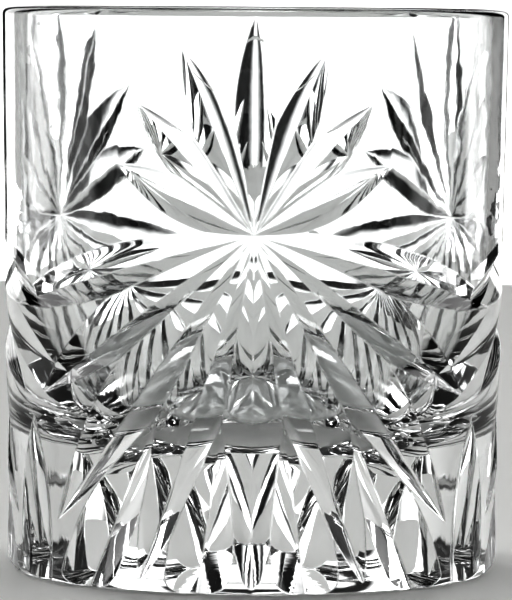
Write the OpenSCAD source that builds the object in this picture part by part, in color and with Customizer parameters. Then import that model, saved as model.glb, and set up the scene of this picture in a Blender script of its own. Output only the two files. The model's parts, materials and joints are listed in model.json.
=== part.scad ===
// Whiskey tumbler in cut crystal: one piece of glass, cut with three starbursts of mitred grooves.
// Millimetres, +Z up, the foot on Z = 0, the axis on Z. The first star's centre faces -Y.

/* [Body] */
// Overall height, foot to lip
height = 92; // [84:1:100]
// Outer diameter at the lip
rim_diameter = 83; // [76:1:90]
// How much narrower the wall's diameter is at the foot than at the lip
taper = 3; // [1:0.5:6]
// Thickness of the wall at the lip, which is rounded to this width
lip_thickness = 2.5; // [2.2:0.1:3.4]
// Extra wall thickness at the height of the star centres
wall_gain = 0.3; // [0:0.1:1]
// Thickness of the solid base under the middle of the bowl
base_thickness = 21; // [16:0.5:26]
// Radius of the bowl's long inner curve, below the star centres
bowl_radius = 70; // [60:1:90]
// Radius of the bowl's inner corner
bowl_corner = 14; // [8:1:18]
// Radius of the rounding between the wall and the foot
heel_radius = 3; // [2:0.5:4]

/* [Cutting] */
// Height of the star centres above the foot
star_height = 56.7; // [52:0.1:60]
// Included angle of the mitre wheel, which makes every groove
mitre_angle = 132; // [126:1:140]
// Length of the upright petal
petal_length = 34.3; // [26:0.1:34.5]
// Length of the outermost petals
petal_side_length = 24.8; // [20:0.1:28]
// Angle of the outermost petals from upright
petal_spread = 64.5; // [56:0.5:68]
// Half width of the petals at their middle
petal_half_width = 3.4; // [2.6:0.1:3.6]
// Length of the five middle rays, which run down towards the foot
ray_length = 58.5; // [54:0.5:64]
// Length of the rays next to the outermost ones
ray_next_length = 47.5; // [44:0.5:54]
// Length of the outermost rays
ray_side_length = 50; // [44:0.5:54]
// Angle of the outermost rays from straight down
ray_spread = 75.5; // [70:0.5:78]
// Half width of the five middle rays at their middle
ray_half_width = 5.7; // [4.6:0.1:6.4]
// Half width of the outermost rays at their middle
ray_side_half_width = 3.9; // [3:0.1:4.4]
// Height at which the short grooves over the heel start
heel_cut_top = 27; // [22:0.5:32]
// Half width of the short grooves over the heel
heel_cut_half_width = 5.8; // [4:0.1:6.4]

/* [Hidden] */
$fn = 72;
rim_r = rim_diameter / 2;
foot_r = rim_r - taper / 2;
star_z = star_height;
// starbursts round the wall; the cuts are spaced for three
stars = 3;
// the share of the heel's radius that stands above the foot, which then ends in a crisp edge
heel_share = 0.87;
heel_z = heel_radius * heel_share;
top_z = height - lip_thickness / 2;
// the petals on each side of the upright one, and the rays on each side of the middle one
petal_pairs = 3;
ray_pairs = 4;
// how far below the foot the short grooves' own curves reach
heel_run_out = 15;
// how far past a star's centre its grooves start, so that they meet in one crisp point
overrun = 0.6;
// straight lengths that follow each groove's curve, and how far the wheel stands out of the wall
groove_steps = 6;
clearance = 0.8;
// the bowl: a long curve that leaves the wall at the star centres and runs into the corner at
// meet_z. The corner stands a hair past the curve, so that the two cross in one clean edge.
bowl_r = rim_r - lip_thickness - wall_gain - taper / 2 * (1 - star_z / height);
corner_z = base_thickness + bowl_corner;
hair = 0.01;
corner_r = bowl_r - bowl_radius + hair
    + sqrt(pow(bowl_radius - bowl_corner, 2) - pow(star_z - corner_z, 2));
meet_z = star_z - bowl_radius * (star_z - corner_z) / (bowl_radius - bowl_corner);

// the wall's radius at a height
function wall_r(z) = foot_r + (rim_r - foot_r) * z / height;

// a point on the wall, a being the angle round the axis from -Y
function on_wall(a, z) = [wall_r(z) * sin(a), -wall_r(z) * cos(a), z];

function unit(v) = v / norm(v);

// how many degrees round the wall a distance is at the height of the star centres
function around(s) = s / wall_r(star_z) * 180 / PI;

module bowl_profile() {
    polygon([
        [0, star_z],
        [bowl_r, star_z],
        [rim_r - lip_thickness, top_z],
        [0, top_z],
    ]);
    intersection() {
        translate([bowl_r - bowl_radius, star_z]) circle(bowl_radius, $fn = 180);
        translate([0, meet_z]) square([rim_r, star_z - meet_z]);
    }
    translate([corner_r, corner_z]) circle(bowl_corner);
    translate([0, base_thickness]) square([corner_r, meet_z - base_thickness]);
}

module outer_profile() {
    polygon([
        [0, 0],
        [foot_r - heel_radius, 0],
        [foot_r - heel_radius, heel_z],
        [wall_r(heel_z), heel_z],
        [rim_r, top_z],
        [0, top_z],
    ]);
    intersection() {
        translate([wall_r(heel_z) - heel_radius, heel_z]) circle(heel_radius);
        square([rim_r, heel_z]);
    }
}

// the uncut blank
module blank() {
    rotate_extrude($fn = 180) {
        difference() {
            outer_profile();
            bowl_profile();
        }
        translate([rim_r - lip_thickness / 2, top_z]) circle(lip_thickness / 2, $fn = 36);
    }
}

// The wheel's cross-section at a share t of a groove's way from a0, z0 to a1, z1: its tip in the
// valley, then its two flanks just outside the wall. The groove is deepest in its middle.
function wheel(a0, z0, a1, z1, half_width, t) =
    let (
        a = a0 + (a1 - a0) * t,
        at = on_wall(a, z0 + (z1 - z0) * t),
        out = [sin(a), -cos(a), 0],
        along = unit([(a1 - a0) * PI / 180 * wall_r(star_z), z1 - z0]),
        across = [-cos(a) * along[1], -sin(a) * along[1], along[0]],
        depth = half_width / tan(mitre_angle / 2) * 4 * t * (1 - t),
        flank = (depth + clearance) * tan(mitre_angle / 2)
    )
    [at - depth * out, at + clearance * out + flank * across, at + clearance * out - flank * across];

// One groove of the mitre wheel, pointed at each end and half_width wide each way in its middle.
module groove(a0, z0, a1, z1, half_width) {
    last = 3 * groove_steps;
    polyhedron(
        [for (i = [0 : groove_steps]) each wheel(a0, z0, a1, z1, half_width, i / groove_steps)],
        concat(
            [[0, 1, 2], [last, last + 2, last + 1]],
            [for (i = [0 : 3 : last - 3], j = [0 : 2]) [i + j, i + 3 + j, i + 3 + (j + 1) % 3]],
            [for (i = [0 : 3 : last - 3], j = [0 : 2]) [i + j, i + 3 + (j + 1) % 3, i + (j + 1) % 3]]
        )
    );
}

// a groove that leaves a star's centre at an angle from upright, for a length along the wall
module ray(star, angle, length, half_width) {
    groove(
        star - around(overrun * sin(angle)),
        star_z - overrun * cos(angle),
        star + around(length * sin(angle)),
        star_z + length * cos(angle),
        half_width
    );
}

module star_cuts(star) {
    for (i = [-petal_pairs : petal_pairs]) {
        t = abs(i) / petal_pairs;
        length = petal_length + (petal_side_length - petal_length) * t;
        ray(star, petal_spread * i / petal_pairs, length, petal_half_width);
    }
    for (i = [-ray_pairs : ray_pairs]) {
        out = max(0, abs(i) - 2);
        length = [ray_length, ray_next_length, ray_side_length][out];
        width = ray_half_width + (ray_side_half_width - ray_half_width) * out / 2;
        ray(star, 180 + ray_spread * i / ray_pairs, length, width);
    }
}

// the short grooves between the rays' lower ends, and one midway between two stars
module heel_cuts(star) {
    for (i = [-1.5, -0.5, 0.5, 1.5]) {
        angle = ray_spread * i / ray_pairs;
        top = tan(angle) * (star_z - heel_cut_top);
        end = tan(angle) * (star_z + heel_run_out);
        groove(star + around(top), heel_cut_top, star + around(end), -heel_run_out, heel_cut_half_width);
    }
    between = star + 180 / stars;
    groove(between, heel_cut_top, between, -heel_run_out, heel_cut_half_width);
}

// All the grooves as one shape. A resize of nothing keeps them as they are, and joins them before
// they are cut from the blank.
module all_cuts() {
    resize([0, 0, 0])
        for (k = [0 : stars - 1]) {
            star_cuts(360 / stars * k);
            heel_cuts(360 / stars * k);
        }
}

module tumbler() {
    color([0.93, 0.95, 0.96, 0.4])
        difference() {
            blank();
            all_cuts();
        }
}

tumbler();
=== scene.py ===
"""A cut crystal whiskey tumbler: one solid piece of glass with three starbursts of mitred grooves."""

import bpy
import json
from math import asin, atan2, cos, degrees, pi, radians, sin, sqrt, tan
from mathutils import Matrix, Vector

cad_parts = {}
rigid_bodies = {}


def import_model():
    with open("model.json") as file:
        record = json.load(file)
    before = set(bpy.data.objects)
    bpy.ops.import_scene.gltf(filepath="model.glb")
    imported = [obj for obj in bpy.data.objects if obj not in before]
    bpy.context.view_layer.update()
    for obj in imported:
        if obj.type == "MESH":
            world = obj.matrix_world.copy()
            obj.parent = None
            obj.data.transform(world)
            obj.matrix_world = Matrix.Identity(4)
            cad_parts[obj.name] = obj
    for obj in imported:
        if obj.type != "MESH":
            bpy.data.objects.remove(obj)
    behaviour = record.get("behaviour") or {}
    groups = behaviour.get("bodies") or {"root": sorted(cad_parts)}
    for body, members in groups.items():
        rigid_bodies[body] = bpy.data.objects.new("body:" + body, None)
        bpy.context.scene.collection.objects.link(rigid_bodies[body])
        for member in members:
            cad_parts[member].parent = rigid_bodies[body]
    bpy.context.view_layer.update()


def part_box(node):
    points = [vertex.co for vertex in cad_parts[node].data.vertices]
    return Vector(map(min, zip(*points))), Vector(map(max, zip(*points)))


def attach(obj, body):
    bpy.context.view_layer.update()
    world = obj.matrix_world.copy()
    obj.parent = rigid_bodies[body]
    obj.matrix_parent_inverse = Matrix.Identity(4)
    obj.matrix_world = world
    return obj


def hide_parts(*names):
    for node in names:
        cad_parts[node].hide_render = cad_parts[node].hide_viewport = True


bl_info = {
    "name": "Cut Crystal Tumbler",
    "version": (1, 0, 0),
    "blender": (4, 5, 0),
    "location": "View3D > Sidebar > Tumbler",
    "description": "Models a cut crystal whiskey tumbler and the plain studio it stands in",
    "category": "Object",
}

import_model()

MM = 0.001
CAD_LOW, CAD_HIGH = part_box("tumbler")
RIM_DIAMETER = CAD_HIGH[0] - CAD_LOW[0]
HEIGHT = CAD_HIGH[2] - CAD_LOW[2]


# ---------------------------------------------------------------- sizes and colours


class TumblerBlankSizes(bpy.types.PropertyGroup):
    """The blank before it is cut: wall, bowl, base and foot."""

    height: bpy.props.FloatProperty(
        name="Height", description="From the foot to the lip", default=HEIGHT, unit="LENGTH"
    )
    rim_diameter: bpy.props.FloatProperty(
        name="Rim diameter", description="Outside, at the lip", default=RIM_DIAMETER, unit="LENGTH"
    )
    taper: bpy.props.FloatProperty(
        name="Taper", description="How much narrower the wall is at the foot", default=3 * MM, unit="LENGTH"
    )
    lip_thickness: bpy.props.FloatProperty(
        name="Lip thickness", description="Width of the rounded lip", default=2.5 * MM, unit="LENGTH"
    )
    wall_gain: bpy.props.FloatProperty(
        name="Wall gain", description="Extra wall at the star centres", default=0.3 * MM, unit="LENGTH"
    )
    base_thickness: bpy.props.FloatProperty(
        name="Base thickness", description="Solid glass under the bowl", default=21 * MM, unit="LENGTH"
    )
    bowl_radius: bpy.props.FloatProperty(
        name="Bowl radius", description="The bowl's long inner curve", default=70 * MM, unit="LENGTH"
    )
    bowl_corner: bpy.props.FloatProperty(
        name="Bowl corner", description="The bowl's inner corner", default=14 * MM, unit="LENGTH"
    )
    heel_radius: bpy.props.FloatProperty(
        name="Heel radius", description="Between the wall and the foot", default=3 * MM, unit="LENGTH"
    )
    heel_share: bpy.props.FloatProperty(
        name="Heel share", description="Share of the heel radius that stands above the foot", default=0.87
    )
    turns: bpy.props.IntProperty(name="Turns", description="Faces round the blank", default=360)


class TumblerCutSizes(bpy.types.PropertyGroup):
    """The mitred grooves of one starburst and of the heel."""

    stars: bpy.props.IntProperty(name="Stars", description="Starbursts round the wall", default=3)
    star_height: bpy.props.FloatProperty(
        name="Star height", description="Star centres above the foot", default=56.7 * MM, unit="LENGTH"
    )
    mitre_angle: bpy.props.FloatProperty(
        name="Mitre angle", description="Included angle of the wheel", default=radians(132), subtype="ANGLE"
    )
    petal_length: bpy.props.FloatProperty(
        name="Petal length", description="The upright petal", default=34.3 * MM, unit="LENGTH"
    )
    petal_side_length: bpy.props.FloatProperty(
        name="Side petal length", description="The outermost petals", default=24.8 * MM, unit="LENGTH"
    )
    petal_spread: bpy.props.FloatProperty(
        name="Petal spread", description="Outermost from upright", default=radians(64.5), subtype="ANGLE"
    )
    petal_half_width: bpy.props.FloatProperty(
        name="Petal half width", description="Halfway along a petal", default=3.4 * MM, unit="LENGTH"
    )
    ray_length: bpy.props.FloatProperty(
        name="Ray length", description="The five middle rays", default=58.5 * MM, unit="LENGTH"
    )
    ray_next_length: bpy.props.FloatProperty(
        name="Next ray length", description="The rays next to the outermost", default=47.5 * MM, unit="LENGTH"
    )
    ray_side_length: bpy.props.FloatProperty(
        name="Side ray length", description="The outermost rays", default=50 * MM, unit="LENGTH"
    )
    ray_spread: bpy.props.FloatProperty(
        name="Ray spread", description="Outermost from straight down", default=radians(75.5), subtype="ANGLE"
    )
    ray_half_width: bpy.props.FloatProperty(
        name="Ray half width", description="Middle rays, halfway along", default=5.7 * MM, unit="LENGTH"
    )
    ray_side_half_width: bpy.props.FloatProperty(
        name="Side ray half width", description="Outermost rays, halfway", default=3.9 * MM, unit="LENGTH"
    )
    heel_cut_top: bpy.props.FloatProperty(
        name="Heel cut top", description="Where the heel's grooves start", default=27 * MM, unit="LENGTH"
    )
    heel_cut_half_width: bpy.props.FloatProperty(
        name="Heel cut half width", description="Halfway along the groove", default=5.8 * MM, unit="LENGTH"
    )
    worn: bpy.props.FloatProperty(
        name="Worn wheel", description="How hollow the wheel leaves a groove's flanks", default=0.3
    )
    steps: bpy.props.IntProperty(
        name="Groove steps", description="Lengths that follow a groove's curve", default=28
    )


class TumblerFinish(bpy.types.PropertyGroup):
    """Colours and finishes of the glass and of the studio."""

    glass: bpy.props.StringProperty(name="Glass", description="sRGB tint of the crystal", default="FCFDFD")
    floor: bpy.props.StringProperty(name="Floor", description="sRGB colour of the floor", default="F4F4F2")


# ---------------------------------------------------------------- hand tools


def clear_selection():
    if bpy.context.object and bpy.context.object.mode != "OBJECT":
        bpy.ops.object.mode_set(mode="OBJECT")
    bpy.ops.object.select_all(action="DESELECT")


def made_object(name):
    """The object that the last primitive made, under its own name."""
    piece = bpy.context.object
    piece.name = name
    piece.data.name = name
    return piece


def apply_modifier(piece, kind, **settings):
    modifier = piece.modifiers.new(kind.title(), kind)
    for key, value in settings.items():
        setattr(modifier, key, value)
    bpy.context.view_layer.objects.active = piece
    bpy.ops.object.modifier_apply(modifier=modifier.name)


def add_node(tree, kind, settings=None, **links):
    """Adds a node, sets its settings and its unlinked sockets, and links the rest. A socket goes by
    its name, with _ for a space, or by its number after a _."""
    node = tree.nodes.new(kind)
    for key, value in (settings or {}).items():
        setattr(node, key, value)
    for socket, value in links.items():
        target = node.inputs[int(socket[1:]) if socket[0] == "_" else socket.replace("_", " ")]
        if isinstance(value, bpy.types.NodeSocket):
            tree.links.new(value, target)
        else:
            target.default_value = value
    return node


def linear(srgb):
    """A linear colour from an sRGB hex value."""
    shares = [int(srgb[i : i + 2], 16) / 255 for i in (0, 2, 4)]
    return [s / 12.92 if s <= 0.04045 else ((s + 0.055) / 1.055) ** 2.4 for s in shares] + [1.0]


# ---------------------------------------------------------------- the blank


# lengths along each arc of the profile
HEEL_STEPS = 12
LIP_STEPS = 24
WALL_STEPS = 20
CORNER_STEPS = 24
MERGE_DISTANCE = 0.002 * MM


def wall_radius(blank, z):
    """The outside of the uncut wall at a height."""
    rim = blank.rim_diameter / 2
    return rim - blank.taper / 2 * (1 - z / blank.height)


def arc(centre, radius, start, end, steps):
    """Points on an arc in the profile, from one angle to another in degrees, both ends included."""
    turns = [radians(start + (end - start) * i / steps) for i in range(steps + 1)]
    return [(centre[0] + radius * cos(a), centre[1] + radius * sin(a)) for a in turns]


def blank_profile(blank, star_z):
    """The half section from the middle of the foot, up the wall, over the lip and down the bowl."""
    rim = blank.rim_diameter / 2
    lip = blank.lip_thickness
    top_z = blank.height - lip / 2
    heel_z = blank.heel_radius * blank.heel_share
    heel_start = -degrees(asin(blank.heel_share))
    heel_centre = (wall_radius(blank, heel_z) - blank.heel_radius, heel_z)
    bowl_r = rim - lip - blank.wall_gain - blank.taper / 2 * (1 - star_z / blank.height)
    corner_z = blank.base_thickness + blank.bowl_corner
    between = blank.bowl_radius - blank.bowl_corner
    corner_r = bowl_r - blank.bowl_radius + sqrt(between**2 - (star_z - corner_z) ** 2)
    meet = degrees(asin((star_z - corner_z) / between))
    points = [(0, 0)]
    points += arc(heel_centre, blank.heel_radius, heel_start, 0, HEEL_STEPS)
    points += arc((rim - lip / 2, top_z), lip / 2, 0, 180, LIP_STEPS)
    points += arc((bowl_r - blank.bowl_radius, star_z), blank.bowl_radius, 0, -meet, WALL_STEPS)
    points += arc((corner_r, corner_z), blank.bowl_corner, -meet, -90, CORNER_STEPS)[1:]
    points += [(0, blank.base_thickness)]
    return points


class TUMBLER_OT_blank(bpy.types.Operator):
    """Spins the uncut blank: straight wall, round lip, bowl with a flat floor, thick base"""

    bl_idname = "tumbler.blank"
    bl_label = "Blank"

    def execute(self, context):
        blank = context.scene.tumbler_blank
        cuts = context.scene.tumbler_cuts
        points = blank_profile(blank, cuts.star_height)
        clear_selection()
        bpy.ops.mesh.primitive_plane_add(size=blank.rim_diameter, location=(0, 0, 0))
        piece = made_object("crystal_tumbler")
        bpy.ops.object.mode_set(mode="EDIT")
        bpy.ops.mesh.select_all(action="SELECT")
        bpy.ops.mesh.merge(type="CENTER")
        for start, end in zip(points, points[1:]):
            step = (end[0] - start[0], 0, end[1] - start[1])
            bpy.ops.mesh.extrude_region_move(TRANSFORM_OT_translate={"value": step})
        bpy.ops.mesh.select_all(action="SELECT")
        bpy.ops.mesh.spin(steps=blank.turns, angle=2 * pi, center=(0, 0, 0), axis=(0, 0, 1))
        bpy.ops.mesh.select_all(action="SELECT")
        bpy.ops.mesh.remove_doubles(threshold=MERGE_DISTANCE)
        bpy.ops.mesh.normals_make_consistent(inside=False)
        bpy.ops.object.mode_set(mode="OBJECT")
        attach(piece, "root")
        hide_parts("tumbler")
        return {"FINISHED"}


# ---------------------------------------------------------------- the grooves


PETAL_PAIRS = 3
RAY_PAIRS = 4
LONG_RAY_PAIRS = 2  # these and the middle ray are the longest
CLEARANCE = 0.8 * MM  # how far the wheel stands out of the wall
OVERRUN = 0.6 * MM  # how far past the star's centre a groove starts
HEEL_RUN_OUT = 15 * MM  # how far below the foot a heel groove's own curve reaches
TIP_HALF_WIDTH = 0.01 * MM  # keeps the wheel's path solid where a groove runs out
FLANK_POINTS = (0.0, 0.08, 0.2, 0.35, 0.5, 0.65, 0.8, 1.0)  # from a groove's bottom to its edge
FACET_ANGLE = radians(11)  # faces that meet at more than this keep a sharp edge
FEWEST_CUT_FACES = 20000  # a blank that the grooves missed has fewer


def wheel_section(half_width, slope, worn):
    """The wheel's outline where it cuts half_width each way: across the groove, and down from the
    wall. A worn wheel's faces are a little convex, which leaves the groove's flanks hollow."""
    depth = half_width / slope
    flank = [(u, depth * (1 - u + worn * u * (1 - u))) for u in FLANK_POINTS]
    right = [(half_width * u, down) for u, down in flank]
    stand = (half_width + CLEARANCE * slope, -CLEARANCE)
    return [*right, stand, (-stand[0], stand[1]), *[(-x, down) for x, down in reversed(right[1:])]]


WHEEL_CORNERS = len(wheel_section(1, 1, 0))


def make_bar(cuts):
    """The straight bar that every groove's path is a copy of: a disc with a corner for each point
    of the wheel's outline, extruded one length at a time."""
    clear_selection()
    bpy.ops.mesh.primitive_circle_add(
        vertices=WHEEL_CORNERS, radius=1, fill_type="NGON", location=(0, 0, 0)
    )
    bar = made_object("wheel_bar")
    bpy.ops.object.mode_set(mode="EDIT")
    bpy.ops.mesh.select_all(action="SELECT")
    for _ in range(cuts.steps):
        bpy.ops.mesh.extrude_region_move(TRANSFORM_OT_translate={"value": (0, 0, 1)})
    bpy.ops.mesh.select_all(action="SELECT")
    bpy.ops.mesh.normals_make_consistent(inside=False)
    bpy.ops.object.mode_set(mode="OBJECT")
    return bar


def add_groove(bar, blank, cuts, start, end, half_width):
    """Lays a copy of the bar along the wheel's path from one place on the wall to another. It
    follows the wall, and is deepest in the middle. A place is the distance round the wall from the
    star's upright, and the height."""
    star_r = wall_radius(blank, cuts.star_height)
    slope = tan(cuts.mitre_angle / 2)
    along = Vector((end[0] - start[0], end[1] - start[1])).normalized()
    groove = bar.copy()
    groove.data = bar.data.copy()
    turn = 2 * pi / WHEEL_CORNERS
    sections = []
    for i in range(cuts.steps + 1):
        t = i / cuts.steps
        width = max(half_width * 4 * t * (1 - t), TIP_HALF_WIDTH)
        a = (start[0] + (end[0] - start[0]) * t) / star_r
        z = start[1] + (end[1] - start[1]) * t
        r = wall_radius(blank, z)
        out = Vector((sin(a), -cos(a), 0))
        across = Vector((-cos(a) * along[1], -sin(a) * along[1], along[0]))
        middle = Vector((r * sin(a), -r * cos(a), z))
        outline = wheel_section(width, slope, cuts.worn)
        sections.append([middle + across * x - out * down for x, down in outline])
    for vertex in groove.data.vertices:
        corner = round(atan2(-vertex.co.x, vertex.co.y) / turn) % WHEEL_CORNERS
        vertex.co = sections[round(vertex.co.z)][corner]
    return groove


def star_groove(bar, blank, cuts, angle, length, half_width):
    """A groove that leaves the star's centre at an angle from upright."""
    z = cuts.star_height
    start = (-OVERRUN * sin(angle), z - OVERRUN * cos(angle))
    end = (length * sin(angle), z + length * cos(angle))
    return add_groove(bar, blank, cuts, start, end, half_width)


class TUMBLER_OT_cuts(bpy.types.Operator):
    """Cuts the starbursts and the heel's grooves into the blank with a mitre wheel"""

    bl_idname = "tumbler.cuts"
    bl_label = "Cuts"

    def execute(self, context):
        blank = context.scene.tumbler_blank
        cuts = context.scene.tumbler_cuts
        star_r = wall_radius(blank, cuts.star_height)
        piece = bpy.data.objects["crystal_tumbler"]
        bar = make_bar(cuts)
        bars = []
        for i in range(-PETAL_PAIRS, PETAL_PAIRS + 1):
            share = abs(i) / PETAL_PAIRS
            length = cuts.petal_length + (cuts.petal_side_length - cuts.petal_length) * share
            angle = cuts.petal_spread * i / PETAL_PAIRS
            bars.append(star_groove(bar, blank, cuts, angle, length, cuts.petal_half_width))
        for i in range(-RAY_PAIRS, RAY_PAIRS + 1):
            out = max(0, abs(i) - LONG_RAY_PAIRS)
            length = (cuts.ray_length, cuts.ray_next_length, cuts.ray_side_length)[out]
            width = cuts.ray_half_width + (cuts.ray_side_half_width - cuts.ray_half_width) * out / 2
            angle = pi + cuts.ray_spread * i / RAY_PAIRS
            bars.append(star_groove(bar, blank, cuts, angle, length, width))
        for i in (-1.5, -0.5, 0.5, 1.5):
            slant = tan(cuts.ray_spread * i / RAY_PAIRS)
            start = (slant * (cuts.star_height - cuts.heel_cut_top), cuts.heel_cut_top)
            end = (slant * (cuts.star_height + HEEL_RUN_OUT), -HEEL_RUN_OUT)
            bars.append(add_groove(bar, blank, cuts, start, end, cuts.heel_cut_half_width))
        between = star_r * pi / cuts.stars
        start, end = (between, cuts.heel_cut_top), (between, -HEEL_RUN_OUT)
        bars.append(add_groove(bar, blank, cuts, start, end, cuts.heel_cut_half_width))
        wheel = bpy.data.collections.new("wheel_paths")
        context.scene.collection.children.link(wheel)
        for star in range(cuts.stars):
            for groove in bars:
                copy = groove.copy()
                copy.data = groove.data.copy()
                copy.data.transform(Matrix.Rotation(2 * pi / cuts.stars * star, 4, "Z"))
                wheel.objects.link(copy)
        clear_selection()
        apply_modifier(
            piece, "BOOLEAN", operation="DIFFERENCE", solver="MANIFOLD",
            operand_type="COLLECTION", collection=wheel,
        )
        for groove in [*wheel.objects, *bars, bar]:
            bpy.data.objects.remove(groove)
        bpy.data.collections.remove(wheel)
        if len(piece.data.polygons) < FEWEST_CUT_FACES:
            raise RuntimeError("the grooves didn't cut the blank")
        clear_selection()
        piece.select_set(True)
        context.view_layer.objects.active = piece
        bpy.ops.object.shade_smooth_by_angle(angle=FACET_ANGLE)
        piece.data.materials.clear()
        piece.data.materials.append(cut_crystal(context.scene.tumbler_finish))
        return {"FINISHED"}


# ---------------------------------------------------------------- finishes


def cut_crystal(finish):
    """Cut lead crystal, mouth-blown into a mould and wheel-cut, then acid polished: colourless, very
    clear and heavily refracting, with a faint slow wave left in its surface by the polishing."""
    material = bpy.data.materials.new("acid_polished_lead_crystal")
    material.use_nodes = True
    tree = material.node_tree
    tree.nodes.clear()
    place = add_node(tree, "ShaderNodeTexCoord")
    # the polish leaves waves about 9 mm long, and finer ripples about 1.2 mm long over them
    wave = add_node(tree, "ShaderNodeTexNoise", Vector=place.outputs["Object"], Scale=110.0, Detail=2.0)
    ripple = add_node(tree, "ShaderNodeTexNoise", Vector=place.outputs["Object"], Scale=800.0, Detail=1.0)
    # polishing rounds every crisp edge a little, which draws it as a fine dark and bright line
    rounded = add_node(tree, "ShaderNodeBevel", {"samples": 6}, Radius=0.45 * MM)
    swell = add_node(
        tree, "ShaderNodeBump", Strength=0.5, Distance=0.12 * MM,
        Height=wave.outputs["Fac"], Normal=rounded.outputs["Normal"],
    )
    surface = add_node(
        tree, "ShaderNodeBump", Strength=0.2, Distance=0.01 * MM,
        Height=ripple.outputs["Fac"], Normal=swell.outputs["Normal"],
    )
    glass = add_node(
        tree, "ShaderNodeBsdfPrincipled", Base_Color=linear(finish.glass), Roughness=0.0,
        IOR=1.545, Transmission_Weight=1.0, Normal=surface.outputs["Normal"],
    )
    add_node(tree, "ShaderNodeOutputMaterial", Surface=glass.outputs["BSDF"])
    return material


def studio_floor(finish):
    """Matt white laminate sheet: pale and even, with a faint grain that keeps it from looking empty."""
    material = bpy.data.materials.new("matt_white_laminate")
    material.use_nodes = True
    tree = material.node_tree
    tree.nodes.clear()
    place = add_node(tree, "ShaderNodeTexCoord")
    # the sheet's sheen varies over about 25 mm
    grain = add_node(tree, "ShaderNodeTexNoise", Vector=place.outputs["Object"], Scale=40.0, Detail=4.0)
    rough = add_node(
        tree, "ShaderNodeMapRange", Value=grain.outputs["Fac"], To_Min=0.5, To_Max=0.6
    )
    sheet = add_node(
        tree, "ShaderNodeBsdfPrincipled", Base_Color=linear(finish.floor),
        Roughness=rough.outputs["Result"],
    )
    add_node(tree, "ShaderNodeOutputMaterial", Surface=sheet.outputs["BSDF"])
    return material


# ---------------------------------------------------------------- the studio


CAMERA_DISTANCE = 0.83  # in front of the glass's axis
CAMERA_HEIGHT = 0.096  # just above the lip, so that it shows as a thin ellipse
LENS = 304.0  # in mm, on a sensor 36 mm wide
SENSOR = 36.0
TILT = radians(3.58)  # downwards
ROLL = radians(-0.45)  # anticlockwise, so the right side of the view sinks

EXPOSURE = 0.15
TABLE_RADIUS = 0.8
TABLE_SIDES = 96
TABLE_TOP = -0.2 * MM  # just under the foot, so that the two don't share a plane
OVERHEAD_HEIGHT = 1.6
OVERHEAD_SIDE = 0.5
OVERHEAD_WATTS = 4
ROOM_LEVEL = 0.02
# where each soft panel stands, in degrees clockwise from behind the glass: its bearing, half width
# and soft edge, then how high it reaches and its soft top edge, then how bright it is
PANELS = (
    (0, 10, 4, 10, 6, 0.95),
    (21, 4, 3, 50, 6, 1.6),
    (-30, 7, 3, 50, 6, 1.6),
    (60, 6, 3, 60, 6, 1.6),
    (-64, 8, 3, 60, 6, 1.6),
    (92, 10, 4, 12, 6, 0.95),
    (-90, 10, 4, 12, 6, 0.95),
)


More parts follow.
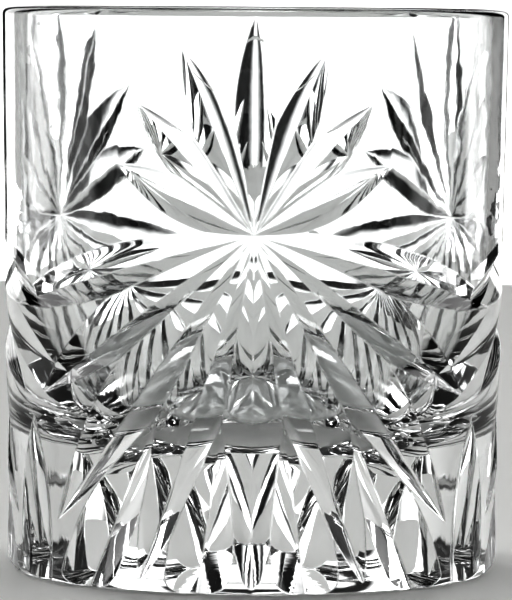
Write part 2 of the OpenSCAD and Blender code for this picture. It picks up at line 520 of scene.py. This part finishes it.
class TUMBLER_OT_studio(bpy.types.Operator):
    """Sets up the pale floor, the white panels, the overhead light and the camera"""

    bl_idname = "tumbler.studio"
    bl_label = "Studio"

    def execute(self, context):
        scene = context.scene
        clear_selection()
        bpy.ops.mesh.primitive_circle_add(
            vertices=TABLE_SIDES, radius=TABLE_RADIUS, fill_type="NGON", location=(0, 0, TABLE_TOP)
        )
        floor = made_object("floor")
        floor.data.materials.append(studio_floor(scene.tumbler_finish))
        self.surroundings(scene)
        self.overhead(scene)
        self.camera(scene)
        scene.view_settings.view_transform = "Standard"
        scene.view_settings.look = "Very High Contrast"
        scene.view_settings.exposure = EXPOSURE
        return {"FINISHED"}

    def surroundings(self, scene):
        """A dark room with soft white panels round the table. Their edges are what the facets of
        the glass pick up as bright and dark."""
        world = bpy.data.worlds.new("studio")
        scene.world = world
        world.use_nodes = True
        tree = world.node_tree
        tree.nodes.clear()
        place = add_node(tree, "ShaderNodeTexCoord")
        parts = add_node(tree, "ShaderNodeSeparateXYZ", Vector=place.outputs["Generated"])
        bearing = add_node(
            tree, "ShaderNodeMath", {"operation": "ARCTAN2"}, _0=parts.outputs["X"], _1=parts.outputs["Y"]
        )
        rise = add_node(tree, "ShaderNodeMath", {"operation": "ARCSINE"}, _0=parts.outputs["Z"])
        level = add_node(tree, "ShaderNodeValue")
        level.outputs[0].default_value = ROOM_LEVEL
        for towards, half_width, edge, top, top_edge, strength in PANELS:
            off = add_node(
                tree, "ShaderNodeMath", {"operation": "SUBTRACT"}, _0=bearing.outputs[0], _1=radians(towards)
            )
            turned = add_node(tree, "ShaderNodeMath", {"operation": "WRAP"}, _0=off.outputs[0], _1=pi, _2=-pi)
            away = add_node(tree, "ShaderNodeMath", {"operation": "ABSOLUTE"}, _0=turned.outputs[0])
            across = add_node(
                tree, "ShaderNodeMapRange", {"interpolation_type": "SMOOTHSTEP"}, Value=away.outputs[0],
                From_Min=radians(half_width + edge), From_Max=radians(half_width), To_Max=strength,
            )
            under = add_node(
                tree, "ShaderNodeMapRange", {"interpolation_type": "SMOOTHSTEP"}, Value=rise.outputs[0],
                From_Min=radians(top + top_edge), From_Max=radians(top),
            )
            panel = add_node(
                tree, "ShaderNodeMath", {"operation": "MULTIPLY"}, _0=across.outputs[0], _1=under.outputs[0]
            )
            level = add_node(
                tree, "ShaderNodeMath", {"operation": "MAXIMUM"}, _0=level.outputs[0], _1=panel.outputs[0]
            )
        sky = add_node(tree, "ShaderNodeBackground", Color=(1, 1, 1, 1), Strength=level.outputs[0])
        add_node(tree, "ShaderNodeOutputWorld", Surface=sky.outputs["Background"])

    def overhead(self, scene):
        """A weak square light straight above, which only lifts the floor."""
        data = bpy.data.lights.new("overhead", "AREA")
        data.shape = "SQUARE"
        data.size = OVERHEAD_SIDE
        data.energy = OVERHEAD_WATTS
        lamp = bpy.data.objects.new("overhead", data)
        lamp.location = (0, 0, OVERHEAD_HEIGHT)
        scene.collection.objects.link(lamp)

    def camera(self, scene):
        data = bpy.data.cameras.new("camera")
        data.sensor_width = SENSOR
        data.lens = LENS
        data.clip_start = 0.05
        data.clip_end = 20
        camera = bpy.data.objects.new("camera", data)
        camera.location = (0, -CAMERA_DISTANCE, CAMERA_HEIGHT)
        look = Matrix.Rotation(ROLL, 4, "Y") @ Matrix.Rotation(pi / 2 - TILT, 4, "X")
        camera.rotation_euler = look.to_euler()
        scene.collection.objects.link(camera)
        scene.camera = camera


# ---------------------------------------------------------------- panel and registration


class TUMBLER_PT_panel(bpy.types.Panel):
    """Lists the steps in their order"""

    bl_idname = "TUMBLER_PT_panel"
    bl_label = "Cut Crystal Tumbler"
    bl_space_type = "VIEW_3D"
    bl_region_type = "UI"
    bl_category = "Tumbler"

    def draw(self, context):
        for step in STEPS:
            self.layout.operator(step.bl_idname)


STEPS = (TUMBLER_OT_blank, TUMBLER_OT_cuts, TUMBLER_OT_studio)
GROUPS = {
    "tumbler_blank": TumblerBlankSizes,
    "tumbler_cuts": TumblerCutSizes,
    "tumbler_finish": TumblerFinish,
}


def register():
    for kind in (*GROUPS.values(), *STEPS, TUMBLER_PT_panel):
        bpy.utils.register_class(kind)
    for name, kind in GROUPS.items():
        setattr(bpy.types.Scene, name, bpy.props.PointerProperty(type=kind))


def unregister():
    for name in GROUPS:
        delattr(bpy.types.Scene, name)
    for kind in (TUMBLER_PT_panel, *reversed(STEPS), *reversed(list(GROUPS.values()))):
        bpy.utils.unregister_class(kind)


def main():
    register()
    bpy.ops.tumbler.blank()
    bpy.ops.tumbler.cuts()
    bpy.ops.tumbler.studio()


if __name__ == "__main__":
    main()
